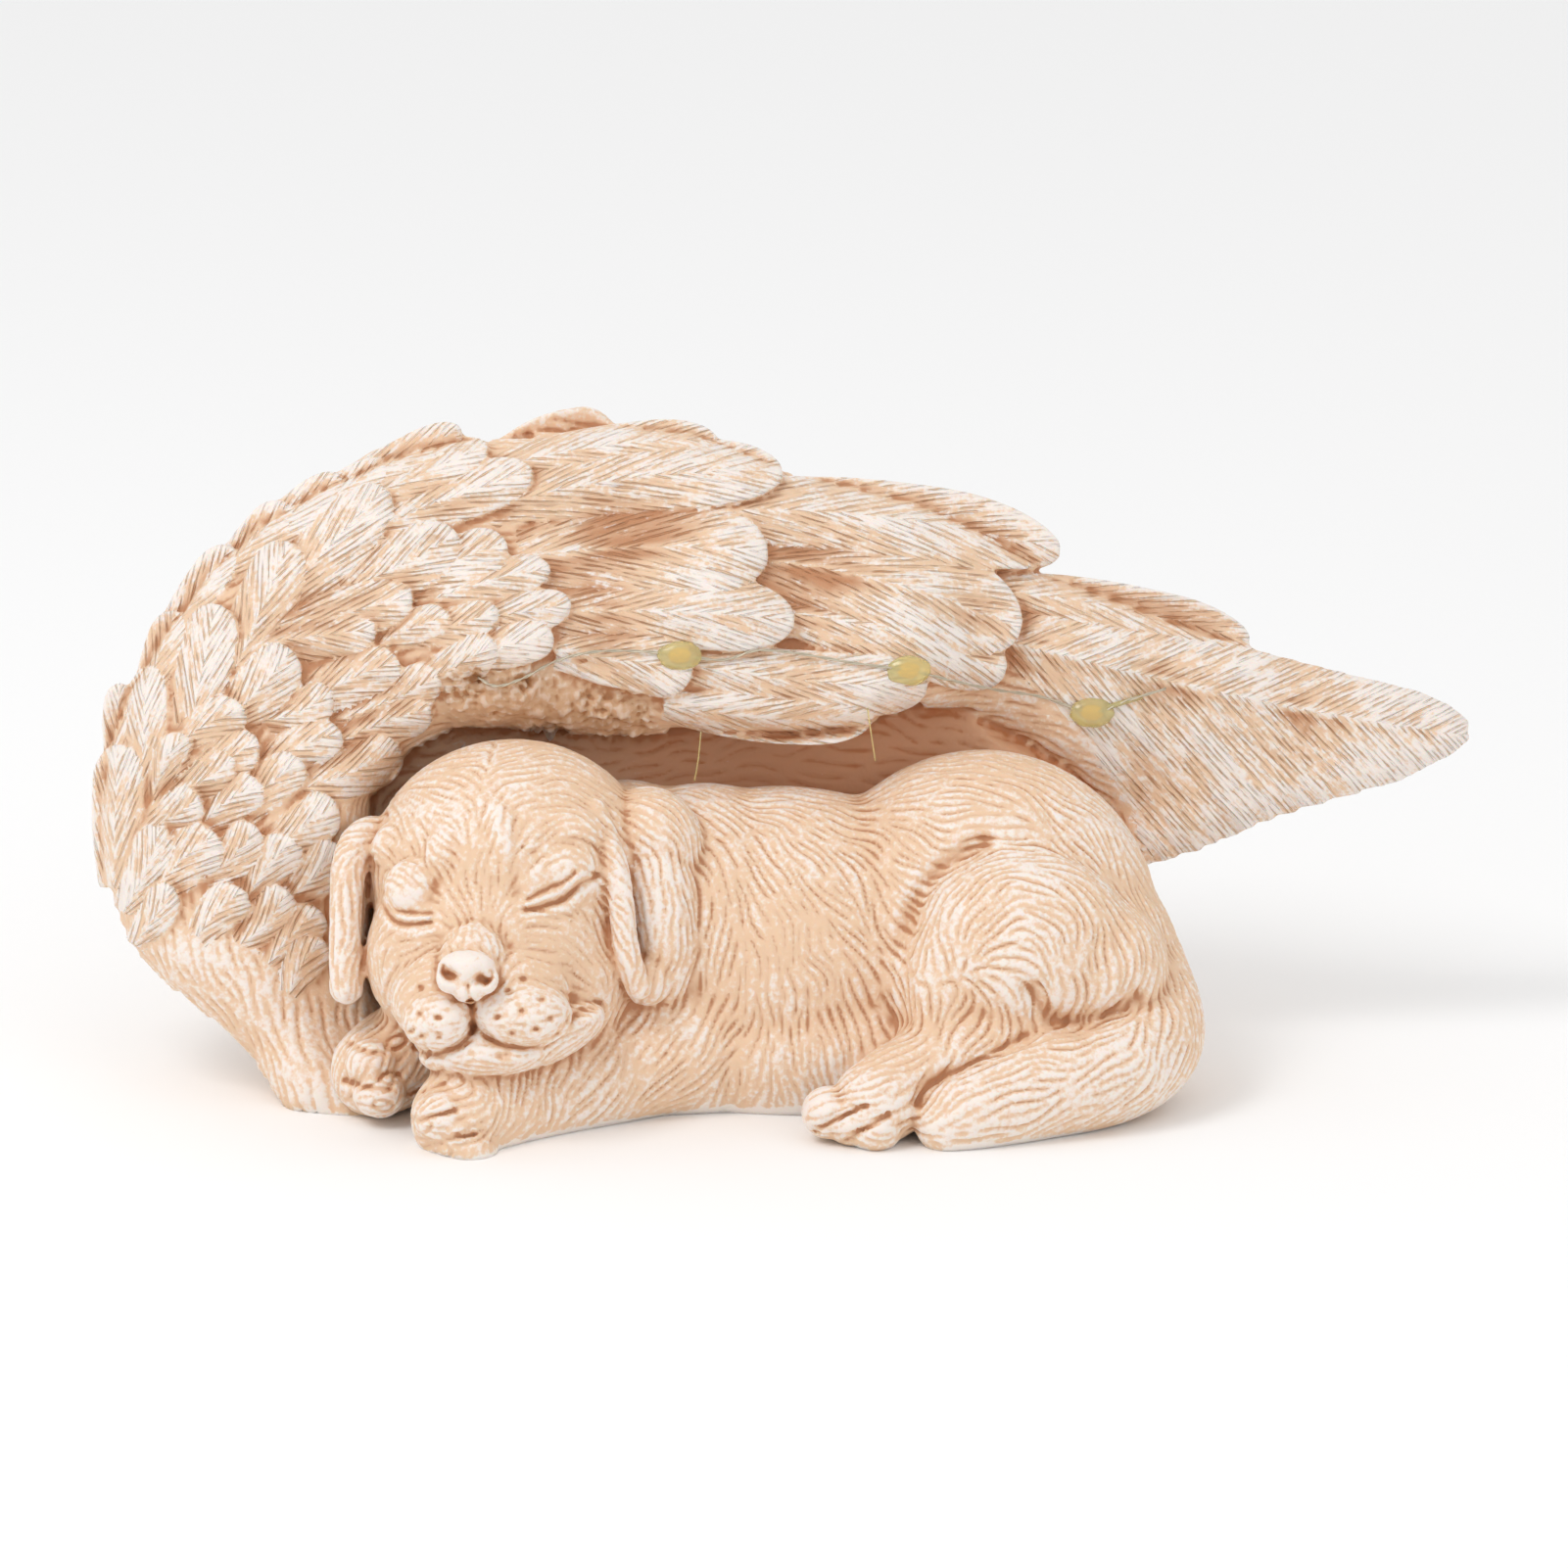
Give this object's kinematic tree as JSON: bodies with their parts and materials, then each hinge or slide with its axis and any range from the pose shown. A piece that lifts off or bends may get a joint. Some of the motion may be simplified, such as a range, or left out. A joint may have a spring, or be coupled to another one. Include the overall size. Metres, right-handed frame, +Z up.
{
  "type": "pet memorial statue",
  "caption": "Small cast figure of a puppy asleep on its forepaws under one curved feathered wing, with tiny wired lights set along the wing.",
  "frame": {"origin": "on the table under the middle of the figure's box", "axes": "+X along the figure, from the wing's curl at the head towards the wing's tip, -Y the way the puppy faces, +Z up"},
  "size_m": [0.2094, 0.0862, 0.097],
  "materials": {
    "cast_resin": "peach cast resin with white rubbed over the raised parts",
    "clear_glue": "clear yellowish glue over a small light",
    "wire": "thin bright wire"
  },
  "bodies": {
    "root": {"statue": "cast_resin", "light_1": "clear_glue", "light_2": "clear_glue", "light_3": "clear_glue", "wire_1": "wire", "wire_2": "wire", "wire_3": "wire", "wire_end": "wire"}
  },
  "joints": []
}
